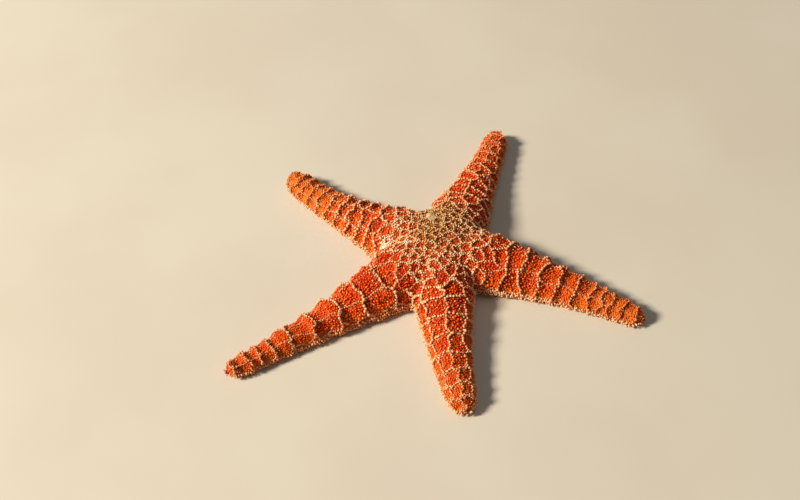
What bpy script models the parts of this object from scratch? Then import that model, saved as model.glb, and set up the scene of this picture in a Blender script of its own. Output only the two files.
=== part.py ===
"""An ochre sea star at rest on a level floor, as closed solids in metres with +Z up.

The disc and the five arms are one body of flesh, parted by a thin cut at the root of each
arm. Each arm is a row of cross-sections along a gently bent centreline: a furrow and two
flat soles below, round flanks, and a domed back that swells and narrows along the arm. The
disc is a turned dome joined to the roots of the arms. The sieve plate sits in a pocket on
the disc, the mouth's membrane in a recess under it, and an eyespot in a socket at each tip.
The sizes reach to the tips of the spines. The origin is under the middle of the whole star.
"""

import math
from collections import namedtuple

import bmesh
import bpy
from mathutils import Matrix, Vector

# ---- Driving sizes, in metres and degrees ------------------------------------------------

GAP = 0.0003  # room between any two neighbours

# An arm: where it points at the disc's centre, how far its tip is from there along it, how
# much it turns evenly over its length and suddenly at its tip, its half-widths, and how many
# swells its back has and how deep they are as a share of its width.
Arm = namedtuple("Arm", "heading length swing hook root middle tip swells depth")
ARMS = (
    Arm(67.5, 0.0913, 1.5, 7.5, 0.0163, 0.0094, 0.0064, 8, 0.025),
    Arm(-11.5, 0.1044, -24.0, 7.5, 0.0175, 0.0103, 0.0052, 12, 0.030),
    Arm(-85.5, 0.0920, 2.0, 12.5, 0.0157, 0.0104, 0.0063, 8, 0.025),
    Arm(-141.5, 0.1195, -6.0, 0.0, 0.0181, 0.0090, 0.0055, 10, 0.050),
    Arm(153.0, 0.0938, -12.0, -11.5, 0.0170, 0.0096, 0.0074, 9, 0.025),
)

ROOT_START = 0.026  # from the centre: inside this the arms no longer widen
CUT_RADIUS = 0.033  # from the centre to the cut that parts an arm from the disc
STUB_START = 0.010  # from the centre to the inner end of an arm's root in the disc
ROOT_RINGS = 5  # cross-sections of a root, and of the furrow under it
CENTRELINE_STEPS = 48  # short straight steps that follow the bend of a centreline

SWELL_EVEN = 0.75  # share of the swells' rhythm that is even; the rest quickens to the tip
SWELL_START = 1 / 6  # share of the arm over which the first swells grow to their full depth

BACK_RISE = 0.85  # height of the back for each metre of half-width
BACK_BASE = 0.0040  # height of the back where the half-width would be nothing
ROOT_TOP = 0.0215  # height to which the back rises inside the disc
BACK_FULLNESS = 0.85  # under 1 the back is fuller than a half ellipse
BACK_SIDES = 8  # faces over the back, from flank to flank
BELLY = 0.0028  # height at which an arm is widest
SOLE_SHARE = 0.86  # outer edge of the sole, as a share of the half-width
TIP_ROUND = 1.25  # length of the rounded tip, as a share of the tip's half-width
TIP_RINGS = 5  # cross-sections over the rounded tip
TIP_BLUNT = 0.97  # how far along the rounded tip the last cross-section lies
TIP_LOW = 0.35  # height left at the very tip, as a share of the back's
TIP_LIFT = 0.0016  # how far the sole rises at the very tip
RING_ROOM = 0.002  # least room between the cut and the first crest or dip of a swell

FURROW_HALF = 0.0034  # half the width of the furrow for the tube feet, at its mouth
FURROW_ROOF_HALF = 0.0018  # and at its roof
FURROW_DEPTH = 0.0042
FURROW_MOST = 0.40  # the furrow never takes more than this share of the half-width
FURROW_MOST_DEPTH = 0.33  # nor more than this share of the height

HUB_RADIUS = 0.0285
HUB_HEIGHT = 0.0225
HUB_FULLNESS = 2.3  # over 2 the dome is fuller than a half ellipse
HUB_RINGS = 9
TURN_STEPS = 40

BELOW_FLOOR = 0.0030  # how far shapes run below the floor before it trims them

MOUTH_RADIUS = 0.0062
MOUTH_OPENING = 0.0014
MOUTH_BOTTOM = 0.0022
MOUTH_TOP = 0.0042
MOUTH_SAG = 0.0006
MOUTH_STEPS = 24

SIEVE_HEADING = 108.0
SIEVE_OUT = 0.0125  # from the disc's centre to the sieve plate's
SIEVE_RADIUS = 0.0027
SIEVE_DOME = 0.0007
SIEVE_PROUD = 0.0002  # how far its rim stands above the dome of the disc
SIEVE_DEEP = 0.0014
SIEVE_RINGS = 4
SIEVE_STEPS = 20

EYE_RADIUS = 0.0009
EYE_HEIGHT = 0.0032
EYE_IN = 0.0008  # from the arm's end to the eyespot's centre

FLESH = (0.78, 0.20, 0.05, 1.0)
SIEVE = (0.80, 0.62, 0.36, 1.0)
MEMBRANE = (0.72, 0.42, 0.27, 1.0)
EYE = (0.30, 0.10, 0.03, 1.0)


# ---- Scene helpers -----------------------------------------------------------------------


def clear_scene():
    for obj in list(bpy.data.objects):
        bpy.data.objects.remove(obj, do_unlink=True)


def collection(name):
    made = bpy.data.collections.new(name)
    bpy.context.scene.collection.children.link(made)
    return made


def material(name, colour, roughness):
    made = bpy.data.materials.new(name)
    made.use_nodes = True
    shader = made.node_tree.nodes["Principled BSDF"]
    shader.inputs["Base Color"].default_value = colour
    shader.inputs["Roughness"].default_value = roughness
    shader.inputs["Metallic"].default_value = 0.0
    made.diffuse_color = colour
    return made


def add_piece(name, mesh, finish):
    """A node of the model, in the star's collection and on its stand-point."""
    piece = bpy.data.objects.new(name, mesh)
    mesh.materials.append(finish)
    star_collection.objects.link(piece)
    piece.parent = star
    return piece


def add_cutter(name, mesh):
    """A helper for a Boolean, which isn't part of the model."""
    cutter = bpy.data.objects.new(name, mesh)
    cutter_collection.objects.link(cutter)
    cutter.parent = star
    cutter.hide_render = True
    cutter.display_type = "WIRE"
    return cutter


def combine(piece, operand, operation):
    modifier = piece.modifiers.new(f"{operation.lower()} {operand.name}", "BOOLEAN")
    modifier.operation = operation
    modifier.solver = "EXACT"
    modifier.object = operand


def smooth(mesh, degrees=50):
    mesh.shade_smooth()
    mesh.set_sharp_from_angle(angle=math.radians(degrees))


# ---- Shapes ------------------------------------------------------------------------------


def loft(name, rings):
    """A closed solid: the face of the first ring is extruded from ring to ring."""
    bm = bmesh.new()
    bmesh.ops.create_circle(bm, cap_ends=True, segments=len(rings[0]), radius=1.0)
    face = next(iter(bm.faces))
    for index, ring in enumerate(rings):
        if index:
            made = bmesh.ops.extrude_face_region(bm, geom=[face])["geom"]
            if index > 1:
                bmesh.ops.delete(bm, geom=[face], context="FACES_ONLY")
            face = next(item for item in made if isinstance(item, bmesh.types.BMFace))
        for vert, place in zip(face.verts, ring):
            vert.co = place
    bmesh.ops.recalc_face_normals(bm, faces=bm.faces)
    mesh = bpy.data.meshes.new(name)
    bm.to_mesh(mesh)
    bm.free()
    return mesh


def ball(name, radius):
    bm = bmesh.new()
    bmesh.ops.create_uvsphere(bm, u_segments=12, v_segments=8, radius=radius)
    mesh = bpy.data.meshes.new(name)
    bm.to_mesh(mesh)
    bm.free()
    return mesh


def cylinder(name, radius, bottom, top):
    bm = bmesh.new()
    middle = Matrix.Translation((0, 0, (bottom + top) / 2))
    bmesh.ops.create_cone(
        bm, cap_ends=True, segments=24, radius1=radius, radius2=radius, depth=top - bottom, matrix=middle
    )
    mesh = bpy.data.meshes.new(name)
    bm.to_mesh(mesh)
    bm.free()
    return mesh


def profile(name, points, closed=False):
    """A line of points in the XZ plane, to be turned about Z."""
    bm = bmesh.new()
    verts = [bm.verts.new((x, 0, z)) for x, z in points]
    for start, end in zip(verts, verts[1:]):
        bm.edges.new((start, end))
    if closed:
        bm.edges.new((verts[-1], verts[0]))
    mesh = bpy.data.meshes.new(name)
    bm.to_mesh(mesh)
    bm.free()
    return mesh


def turn(obj, steps):
    screw = obj.modifiers.new("turned", "SCREW")
    screw.axis = "Z"
    screw.steps = steps
    screw.render_steps = steps
    screw.use_merge_vertices = True
    screw.merge_threshold = 0.00001
    screw.use_smooth_shade = True


# ---- The arms ----------------------------------------------------------------------------


def bearing(arm, distance):
    """The direction of the arm's centreline, in radians, this far along it."""
    share = distance / arm.length
    return math.radians(arm.heading + arm.swing * share + arm.hook * share**4)


def on_centreline(arm, distance):
    """The point this far along the centreline from the disc's centre."""
    step = distance / CENTRELINE_STEPS
    place = Vector((0, 0, 0))
    for index in range(CENTRELINE_STEPS):
        angle = bearing(arm, (index + 0.5) * step)
        place += step * Vector((math.cos(angle), math.sin(angle), 0))
    return place


def share_out(arm, distance):
    """0 at the arm's root and 1 at its tip."""
    return min(max((distance - ROOT_START) / (arm.length - ROOT_START), 0.0), 1.0)


def plain_half_width(arm, distance):
    """A smooth curve through the half-widths at the root, the middle and the tip."""
    u = share_out(arm, distance)
    return arm.root * (1 - u) * (1 - 2 * u) + 4 * arm.middle * u * (1 - u) + arm.tip * u * (2 * u - 1)


def swell(arm, distance):
    """The back's swells, which follow each other more closely towards the tip."""
    u = share_out(arm, distance)
    turns = arm.swells * u * (SWELL_EVEN + (1 - SWELL_EVEN) * u)
    return 1 - arm.depth * math.cos(2 * math.pi * turns) * min(1.0, u / SWELL_START)


def swell_stations(arm):
    """Distances of the crests and the dips of the swells, up to the rounded tip."""
    end = arm.length - TIP_ROUND * arm.tip
    found = []
    for half in range(1, 2 * arm.swells):
        turns = half / 2 / arm.swells
        quicker = 1 - SWELL_EVEN
        u = (math.sqrt(SWELL_EVEN**2 + 4 * quicker * turns) - SWELL_EVEN) / (2 * quicker)
        distance = ROOT_START + u * (arm.length - ROOT_START)
        if CUT_RADIUS + RING_ROOM < distance < end - RING_ROOM / 2:
            found.append(distance)
    return found


def roundness(arm, distance):
    """1 along the arm, falling as a quarter circle to 0 over its tip."""
    reach = TIP_ROUND * arm.tip
    over = min(max((distance - arm.length + reach) / reach, 0.0), 1.0)
    return math.sqrt(1 - over * over)


def cross_section(arm, distance, sole_drop=0.0):
    """The outline square to the centreline, as (across, up) pairs from the furrow's roof round."""
    rounded = roundness(arm, distance)
    plain = plain_half_width(arm, distance)
    swollen = swell(arm, distance)
    half = plain * rounded * swollen
    top = (BACK_RISE * plain + BACK_BASE) * swollen
    inward = max(0.0, (CUT_RADIUS - distance) / (CUT_RADIUS - STUB_START))
    top += (ROOT_TOP - top) * inward * inward * (3 - 2 * inward)
    rise = (top - BELLY) * (TIP_LOW + (1 - TIP_LOW) * rounded)
    sole = TIP_LIFT * (1 - rounded) - sole_drop
    outline = []
    for index in range(BACK_SIDES + 1):
        angle = math.pi * index / BACK_SIDES
        outline.append((half * math.cos(angle), BELLY + rise * math.sin(angle) ** BACK_FULLNESS))
    edge = min(FURROW_HALF, FURROW_MOST * half)
    roof_half = edge * FURROW_ROOF_HALF / FURROW_HALF
    roof = sole + min(FURROW_DEPTH, FURROW_MOST_DEPTH * (BELLY + rise)) * rounded**2
    if sole_drop:
        return outline + [(-SOLE_SHARE * half, sole), (SOLE_SHARE * half, sole)]
    left = [(-SOLE_SHARE * half, sole), (-edge, sole), (-roof_half, roof)]
    right = [(-across, up) for across, up in reversed(left)]
    return outline + left + right


def furrow_section(arm, distance):
    """The furrow alone, run below the floor so that it cuts cleanly."""
    half = plain_half_width(arm, distance)
    edge = min(FURROW_HALF, FURROW_MOST * half)
    roof_half = edge * FURROW_ROOF_HALF / FURROW_HALF
    slope = (edge - roof_half) / FURROW_DEPTH
    low = BELOW_FLOOR / 3
    return [
        (edge + slope * low, -low),
        (roof_half, FURROW_DEPTH),
        (-roof_half, FURROW_DEPTH),
        (-edge - slope * low, -low),
    ]


def ring_at(arm, distance, outline):
    """The outline stood up across the centreline at this distance."""
    angle = bearing(arm, distance)
    across = Vector((-math.sin(angle), math.cos(angle), 0))
    place = on_centreline(arm, distance)
    return [place + across * sideways + Vector((0, 0, up)) for sideways, up in outline]


def arm_rings(arm):
    stations = [CUT_RADIUS + GAP / 2] + swell_stations(arm)
    reach = TIP_ROUND * arm.tip
    for index in range(TIP_RINGS + 1):
        stations.append(arm.length - reach + reach * TIP_BLUNT * math.sin(math.pi / 2 * index / TIP_RINGS))
    return [ring_at(arm, station, cross_section(arm, station)) for station in stations]


def make_arm(number, arm):
    mesh = loft(f"arm_{number}", arm_rings(arm))
    smooth(mesh)
    piece = add_piece(f"arm_{number}", mesh, flesh)
    tip = on_centreline(arm, arm.length - EYE_IN) + Vector((0, 0, EYE_HEIGHT))
    socket = add_cutter(f"eye_socket_{number}", ball("eye_socket", EYE_RADIUS + GAP))
    socket.location = tip
    combine(piece, socket, "DIFFERENCE")
    spot = ball("eyespot", EYE_RADIUS)
    smooth(spot, 180)
    eyespot = add_piece(f"eyespot_{number}", spot, eye)
    eyespot.location = tip


# ---- The disc ----------------------------------------------------------------------------


def hub_height(out):
    """Height of the turned dome this far from the disc's centre."""
    return HUB_HEIGHT * math.sqrt(max(0.0, 1 - (out / HUB_RADIUS) ** HUB_FULLNESS))


def hub_profile():
    points = []
    for index in range(HUB_RINGS + 1):
        out = HUB_RADIUS * math.sin(math.pi / 2 * index / HUB_RINGS)
        points.append((out, max(hub_height(out), BELLY)))
    points.append((SOLE_SHARE * HUB_RADIUS, -BELOW_FLOOR))
    points.append((0.0, -BELOW_FLOOR))
    return points


def spread(start, end, count):
    """Evenly spaced numbers from start to end."""
    return [start + (end - start) * index / (count - 1) for index in range(count)]


def stub_rings(arm, number):
    """An arm's root inside the disc, each run a little deeper below the floor than the last."""
    drop = BELOW_FLOOR * (0.4 + 0.1 * number)
    end = CUT_RADIUS - GAP / 2
    stations = spread(STUB_START, end, ROOT_RINGS)
    return [ring_at(arm, station, cross_section(arm, station, drop)) for station in stations]


def furrow_rings(arm):
    start = MOUTH_RADIUS / 2
    end = CUT_RADIUS + GAP * 2
    stations = spread(start, end, ROOT_RINGS)
    return [ring_at(arm, station, furrow_section(arm, station)) for station in stations]


def make_disc():
    disc = add_piece("disc", profile("disc", hub_profile()), flesh)
    turn(disc, TURN_STEPS)
    for number, arm in enumerate(ARMS, 1):
        combine(disc, add_cutter(f"root_{number}", loft("root", stub_rings(arm, number))), "UNION")
    floor = add_cutter("floor", cylinder("floor", CUT_RADIUS * 2, -BELOW_FLOOR * 3, 0.0))
    combine(disc, floor, "DIFFERENCE")
    for number, arm in enumerate(ARMS, 1):
        combine(disc, add_cutter(f"furrow_{number}", loft("furrow", furrow_rings(arm))), "DIFFERENCE")
    recess = cylinder("mouth_recess", MOUTH_RADIUS + GAP, -BELOW_FLOOR, MOUTH_TOP + GAP)
    combine(disc, add_cutter("mouth_recess", recess), "DIFFERENCE")
    pocket = cylinder("sieve_pocket", SIEVE_RADIUS + GAP, -SIEVE_DEEP - GAP, SIEVE_DEEP * 2)
    pocket_cutter = add_cutter("sieve_pocket", pocket)
    pocket_cutter.matrix_local = sieve_place()
    combine(disc, pocket_cutter, "DIFFERENCE")


def make_mouth():
    """A turned membrane with a small opening, sagging a little towards it."""
    points = [
        (MOUTH_OPENING, MOUTH_TOP - MOUTH_SAG),
        (MOUTH_RADIUS * 0.55, MOUTH_TOP - MOUTH_SAG / 3),
        (MOUTH_RADIUS, MOUTH_TOP),
        (MOUTH_RADIUS, MOUTH_BOTTOM + MOUTH_SAG),
        (MOUTH_RADIUS * 0.55, MOUTH_BOTTOM + MOUTH_SAG / 3),
        (MOUTH_OPENING, MOUTH_BOTTOM),
    ]
    turn(add_piece("mouth", profile("mouth", points, closed=True), membrane), MOUTH_STEPS)


def sieve_place():
    """Where the sieve plate sits: on the dome, tilted as the dome is there."""
    step = 0.0001
    fall = (hub_height(SIEVE_OUT - step) - hub_height(SIEVE_OUT + step)) / (2 * step)
    turned = Matrix.Rotation(math.radians(SIEVE_HEADING), 4, "Z")
    placed = Matrix.Translation((SIEVE_OUT, 0, hub_height(SIEVE_OUT)))
    return turned @ placed @ Matrix.Rotation(math.atan(fall), 4, "Y")


def make_sieve_plate():
    points = []
    for index in range(SIEVE_RINGS + 1):
        out = SIEVE_RADIUS * math.sin(math.pi / 2 * index / SIEVE_RINGS)
        points.append((out, SIEVE_PROUD + SIEVE_DOME * math.sqrt(1 - (out / SIEVE_RADIUS) ** 2)))
    points += [(SIEVE_RADIUS, -SIEVE_DEEP), (0.0, -SIEVE_DEEP)]
    plate = add_piece("madreporite", profile("madreporite", points), sieve)
    turn(plate, SIEVE_STEPS)
    plate.matrix_local = sieve_place()


# ---- The whole star ----------------------------------------------------------------------


def centre_star():
    """Moves the star so that the origin is under the middle of its box."""
    bpy.context.view_layer.update()
    graph = bpy.context.evaluated_depsgraph_get()
    corners = []
    for piece in star_collection.objects:
        if piece.type == "MESH":
            evaluated = piece.evaluated_get(graph)
            corners += [evaluated.matrix_world @ Vector(corner) for corner in evaluated.bound_box]
    low = Vector(min(corner[axis] for corner in corners) for axis in range(3))
    high = Vector(max(corner[axis] for corner in corners) for axis in range(3))
    star.location = (-(low.x + high.x) / 2, -(low.y + high.y) / 2, 0)


clear_scene()
star_collection = collection("sea star")
cutter_collection = collection("cutters")
star = bpy.data.objects.new("star_centre", None)
star_collection.objects.link(star)

flesh = material("flesh", FLESH, 0.55)
sieve = material("madreporite", SIEVE, 0.6)
membrane = material("mouth membrane", MEMBRANE, 0.5)
eye = material("eyespot", EYE, 0.4)

make_disc()
for arm_number, arm_sizes in enumerate(ARMS, 1):
    make_arm(arm_number, arm_sizes)
make_mouth()
make_sieve_plate()
centre_star()
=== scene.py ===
# %% [markdown]
# # An ochre sea star at rest
#
# A sea star looks like a soft animal, but its skin is stiffened by a net of limy ossicles.
# Short blunt spines stand in rows on that net, and soft gills fill the cells between. This
# lesson keeps a plain solid star as its frame, grows one seamless skin from it, raises the net
# on the skin, and plants the spines, gills, fringe and tube feet as real geometry.

# %% Load the frame
import math
from itertools import product

import bpy
import numpy as np
from mathutils import Matrix, Vector
from mathutils.bvhtree import BVHTree
from mathutils.kdtree import KDTree


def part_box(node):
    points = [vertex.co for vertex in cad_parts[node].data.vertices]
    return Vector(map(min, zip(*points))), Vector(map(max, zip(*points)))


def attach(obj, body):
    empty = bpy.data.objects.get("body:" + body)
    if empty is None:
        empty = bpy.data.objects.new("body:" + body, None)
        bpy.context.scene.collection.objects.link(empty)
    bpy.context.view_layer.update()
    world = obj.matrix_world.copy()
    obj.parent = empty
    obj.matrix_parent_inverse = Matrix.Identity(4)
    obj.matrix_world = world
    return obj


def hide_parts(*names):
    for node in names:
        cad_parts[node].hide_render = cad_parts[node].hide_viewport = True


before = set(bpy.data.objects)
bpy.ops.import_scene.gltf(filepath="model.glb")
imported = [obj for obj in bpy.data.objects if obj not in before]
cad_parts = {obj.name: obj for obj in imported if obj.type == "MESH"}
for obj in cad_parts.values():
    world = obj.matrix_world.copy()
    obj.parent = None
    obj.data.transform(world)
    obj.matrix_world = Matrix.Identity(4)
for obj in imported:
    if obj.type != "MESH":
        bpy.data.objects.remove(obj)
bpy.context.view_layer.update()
MM = 0.001

# %% [markdown]
# The five arms are alike but not the same. Each has a few sizes of its own: where it points,
# how long it is, how it bends, and how wide it is at its root, middle and tip. The same sizes
# made the solids, so a place on the skin can be named by how far along and round an arm it is.

# %% Arm sizes
ARM_START = 33 * MM
ROOT_START = 26 * MM
BELLY = 2.8 * MM
BACK_LIFT = 4 * MM
BACK_ROUNDNESS = 0.85

# heading in degrees, length in metres, swing and hook in degrees, then the half-widths in metres
ARM_SIZES = (
    (67.5, 0.0913, 1.5, 7.5, (0.0163, 0.0094, 0.0064)),
    (-11.5, 0.1044, -24.0, 7.5, (0.0175, 0.0103, 0.0052)),
    (-85.5, 0.0920, 2.0, 12.5, (0.0157, 0.0104, 0.0063)),
    (-141.5, 0.1195, -6.0, 0.0, (0.0181, 0.0090, 0.0055)),
    (153.0, 0.0938, -12.0, -11.5, (0.0170, 0.0096, 0.0074)),
)
ARM_COUNT = len(ARM_SIZES)
mouth_low, mouth_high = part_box("mouth")
CENTRE = Vector(((mouth_low.x + mouth_high.x) / 2, (mouth_low.y + mouth_high.y) / 2, 0))


def smooth_step(low, high, value):
    """0 below low, 1 above high, and an even curve between."""
    share = np.clip((value - low) / (high - low), 0, 1)
    return share * share * (3 - 2 * share)


def bell(value, width):
    """1 where the value is 0, falling to about a third one width away."""
    return np.exp(-((value / width) ** 2))


def unit(vectors):
    """The same directions, each of length 1."""
    return vectors / np.linalg.norm(vectors, axis=1)[:, None]


def away_from(points, middle):
    """How far each point lies from the upright line through the middle."""
    return np.hypot(points[:, 0] - middle.x, points[:, 1] - middle.y)


class Arm:
    """One arm's centreline and outline, as arrays with a station every half millimetre."""

    STEP = 0.5 * MM

    def __init__(self, heading, length, swing, hook, widths):
        self.length = length
        self.widths = widths
        self.along = np.arange(0, length + 8 * MM, self.STEP)
        share = (self.along + self.STEP / 2) / length
        angle = np.radians(heading + swing * share + hook * share**4)
        self.tangent = np.stack([np.cos(angle), np.sin(angle)], 1)
        steps = np.vstack([[0, 0], self.tangent[:-1] * self.STEP])
        self.place = np.cumsum(steps, 0) + np.array(CENTRE[:2])
        self.across = np.stack([-self.tangent[:, 1], self.tangent[:, 0]], 1)

    def share_out(self, along):
        return np.clip((along - ROOT_START) / (self.length - ROOT_START), 0, 1)

    def half_width(self, along):
        u = self.share_out(along)
        root, middle, tip = self.widths
        return root * (1 - u) * (1 - 2 * u) + 4 * middle * u * (1 - u) + tip * u * (2 * u - 1)

    def height(self, along):
        return BACK_ROUNDNESS * self.half_width(along) + BACK_LIFT

    def at(self, along, across, up):
        """The point at these distances along, across and above the arm."""
        index = int(np.clip(round(along / self.STEP), 0, len(self.along) - 1))
        x, y = self.place[index] + self.across[index] * across
        return Vector((x, y, up))

    def stations(self, along):
        """The last station before each of these distances."""
        return np.clip(along / self.STEP, 0, len(self.along) - 1).astype(int)


ARMS = [Arm(*sizes) for sizes in ARM_SIZES]
print("arms reach", [round(arm.length / MM) for arm in ARMS], "mm from the centre")

# %% [markdown]
# `body_map` turns points into places on the body. For each point it finds the nearest arm, the
# distance along it, and the turn round it: 0 on the crest of the back, 1 at the widest line of
# the left flank and -1 at that of the right one, and 2 under the middle of the sole. `flank` is
# the same on both sides. Patterns, colours and the coat all use them.

# %% Body map
POINTS_AT_ONCE = 20000


def body_map(points):
    """For each point: its arm, its place along, across and round it, and the arm's size there."""
    points = np.asarray(points, float)
    flat = points[:, :2]
    parts = np.array_split(flat, len(flat) // POINTS_AT_ONCE + 1)
    apart, on_each = [], []
    for arm in ARMS:
        nearest = np.concatenate([((part[:, None] - arm.place) ** 2).sum(2).argmin(1) for part in parts])
        gap = flat - arm.place[nearest]
        across = (gap * arm.across[nearest]).sum(1)
        ahead = (gap * arm.tangent[nearest]).sum(1)
        along = arm.along[nearest] + ahead
        shape = arm.share_out(along), arm.half_width(along), arm.height(along)
        apart.append(np.hypot(across, ahead))
        on_each.append((along, across, *shape))
    number = np.argmin(apart, 0)
    columns = [np.choose(number, choices) for choices in zip(*on_each)]
    found = dict(zip(("along", "across", "share", "half", "top"), columns))
    side = found["across"] / found["half"]
    up = (points[:, 2] - BELLY) / np.where(points[:, 2] > BELLY, found["top"] - BELLY, BELLY)
    found["turn"] = np.degrees(np.arctan2(side, up)) / 90
    found["flank"] = np.abs(found["turn"])
    found["arm"] = number
    found["radius"] = away_from(points, CENTRE)
    found["disc"] = 1 - smooth_step(19 * MM, 33 * MM, found["radius"])
    return found


# %% [markdown]
# The camera looks down on the star at 50 degrees from just over half a metre away, through a
# fairly long lens, and is turned a little aside, so that the star sits right of the middle.

# %% Camera
CAMERA_ELEVATION = math.radians(50)
CAMERA_DISTANCE = 0.637
TURNED_LEFT = math.radians(1.70)
TURNED_UP = math.radians(0.48)

away = Vector((0, -math.cos(CAMERA_ELEVATION), math.sin(CAMERA_ELEVATION)))
bpy.ops.object.camera_add()
camera = bpy.context.object
camera.name = "camera"
camera.data.lens = 58.5
camera.data.sensor_width = 36
camera.data.clip_start = 0.01
camera.matrix_world = (
    Matrix.Translation(CENTRE + away * CAMERA_DISTANCE)
    @ Matrix.Rotation(math.pi / 2 - CAMERA_ELEVATION, 4, "X")
    @ Matrix.Rotation(TURNED_LEFT, 4, "Y")
    @ Matrix.Rotation(TURNED_UP, 4, "X")
)
bpy.context.scene.camera = camera
print("camera at", [round(value, 3) for value in camera.matrix_world.translation], "m")

# %% [markdown]
# A warm lamp stands on the left, as a late sun would, so that every row of spines throws a small
# shadow to the right. A wider, weaker one above fills the shadows. The floor is plain and pale.

# %% Light and floor


def area_light(name, azimuth, elevation, distance, size, watts, colour):
    """A square lamp that faces the star. Azimuth 0 is at the right, 90 behind."""
    turn, rise = math.radians(azimuth), math.radians(elevation)
    out = Vector((math.cos(rise) * math.cos(turn), math.cos(rise) * math.sin(turn), math.sin(rise)))
    bpy.ops.object.light_add(type="AREA", location=CENTRE + out * distance)
    lamp = bpy.context.object
    lamp.name = name
    lamp.rotation_euler = out.to_track_quat("Z", "Y").to_euler()
    lamp.data.size = size
    lamp.data.energy = watts
    lamp.data.color = colour


area_light("key", 194, 36, 2.6, 0.50, 112.0, (1.0, 0.90, 0.74))
area_light("fill", 60, 68, 1.5, 1.5, 2.4, (1.0, 0.97, 0.92))

world = bpy.data.worlds.new("studio")
world.use_nodes = True
background = world.node_tree.nodes["Background"].inputs
background["Color"].default_value = (1.0, 0.97, 0.93, 1)
background["Strength"].default_value = 0.10
bpy.context.scene.world = world
bpy.context.scene.view_settings.view_transform = "Standard"

bpy.ops.mesh.primitive_plane_add(size=12, location=(0, 0, -0.1 * MM))
floor = bpy.context.object
floor.name = "floor"

# %% [markdown]
# Shader maths is easier to read as arithmetic than as a list of nodes. `Wire` wraps an output
# socket so that `1 - mask` adds a Math node, and `Finish.node` adds any other node.

# %% Shader helpers


class Wire:
    """An output socket on which Python's arithmetic adds Math nodes."""

    def __init__(self, finish, socket):
        self.finish = finish
        self.socket = socket

    def math(self, operation, *values):
        return self.finish.node("Math", {"operation": operation}, dict(enumerate(values)))

    def __add__(self, other):
        return self.math("ADD", self, other)

    def __radd__(self, other):
        return self.math("ADD", other, self)

    def __sub__(self, other):
        return self.math("SUBTRACT", self, other)

    def __rsub__(self, other):
        return self.math("SUBTRACT", other, self)

    def __mul__(self, other):
        return self.math("MULTIPLY", self, other)

    def __rmul__(self, other):
        return self.math("MULTIPLY", other, self)


# %% Finishes


class Finish:
    """A material while it is being made."""

    def __init__(self, name):
        self.material = bpy.data.materials.new(name)
        self.material.use_nodes = True
        self.tree = self.material.node_tree
        self.shader = self.tree.nodes["Principled BSDF"]

    def node(self, kind, settings=None, values=None, output=0):
        """Adds a node: its settings first, then numbers, colours or wires for its sockets."""
        made = self.tree.nodes.new("ShaderNode" + kind)
        for key, value in (settings or {}).items():
            setattr(made, key, value)
        for key, value in (values or {}).items():
            self.feed(made.inputs[key], value)
        return Wire(self, made.outputs[output])

    def feed(self, socket, value):
        if isinstance(value, Wire):
            self.tree.links.new(value.socket, socket)
        elif isinstance(value, tuple) and len(value) == 3 and socket.type == "RGBA":
            socket.default_value = (*value, 1)
        else:
            socket.default_value = value

    def mask(self, name):
        """A number stored on the mesh's points."""
        return self.node("Attribute", {"attribute_name": name}, output=2)

    def place(self):
        return self.node("TexCoord", output=3)

    def noise(self, scale, detail=2.0, roughness=0.5):
        values = {"Vector": self.place(), "Scale": scale, "Detail": detail, "Roughness": roughness}
        return self.node("TexNoise", values=values)

    def cells(self, scale):
        return self.node("TexVoronoi", values={"Vector": self.place(), "Scale": scale})

    def step(self, value, low, high):
        """0 below low and 1 above high."""
        kind = {"interpolation_type": "SMOOTHSTEP"}
        return self.node("MapRange", kind, {0: value, 1: low, 2: high})

    def mix(self, factor, first, second):
        return self.node("Mix", {"data_type": "RGBA"}, {0: factor, 6: first, 7: second}, output=2)

    def bump(self, height, strength, distance):
        return self.node("Bump", values={"Height": height, "Strength": strength, "Distance": distance})

    def set(self, **values):
        for key, value in values.items():
            self.feed(self.shader.inputs[key.replace("_", " ")], value)


# %% [markdown]
# The floor only has to be quiet. A very faint mottle keeps it from looking like paper.

# %% Floor finish
look = Finish("pale floor")
floor_tone = look.step(look.noise(9.0, 3.0), 0.35, 0.65)
look.set(
    Base_Color=look.mix(floor_tone, (0.62, 0.57, 0.49), (0.65, 0.61, 0.53)),
    Roughness=0.85,
)
floor.data.materials.append(look.material)

# %% [markdown]
# The skin starts as copies of the disc and the arms. Each arm's root is pushed a little into the
# disc, and the pockets of the sieve plate and the eyespots are plugged. A voxel remesh then
# makes one closed surface of everything, and a smoothing pass rounds the corners between the
# arms. Modelling it again by hand would only bring the seams back.

# %% Grow one skin
FLESH_NODES = ["disc"] + [f"arm_{number}" for number in range(1, ARM_COUNT + 1)]
EYESPOT_NODES = [f"eyespot_{number}" for number in range(1, ARM_COUNT + 1)]
VOXEL = 0.66 * MM
ROOT_PUSH = 1.5 * MM
EYE_PLUG = 1.5 * MM
PLATE_PLUG = 3.6 * MM
PLATE_SINK = 2.6 * MM


def only(obj):
    """Selects this object alone and makes it active."""
    bpy.ops.object.select_all(action="DESELECT")
    obj.select_set(True)
    bpy.context.view_layer.objects.active = obj


def apply_modifier(obj, kind, **settings):
    only(obj)
    modifier = obj.modifiers.new(kind.lower(), kind)
    for key, value in settings.items():
        setattr(modifier, key, value)
    bpy.ops.object.modifier_apply(modifier=modifier.name)


def copy_of_node(name):
    """A copy of a solid's mesh with its triangles joined up."""
    copy = bpy.data.objects.new(name + "_copy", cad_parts[name].data.copy())
    bpy.context.scene.collection.objects.link(copy)
    only(copy)
    bpy.ops.object.mode_set(mode="EDIT")
    bpy.ops.mesh.select_all(action="SELECT")
    bpy.ops.mesh.remove_doubles(threshold=0.01 * MM)
    bpy.ops.object.mode_set(mode="OBJECT")
    return copy


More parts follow.
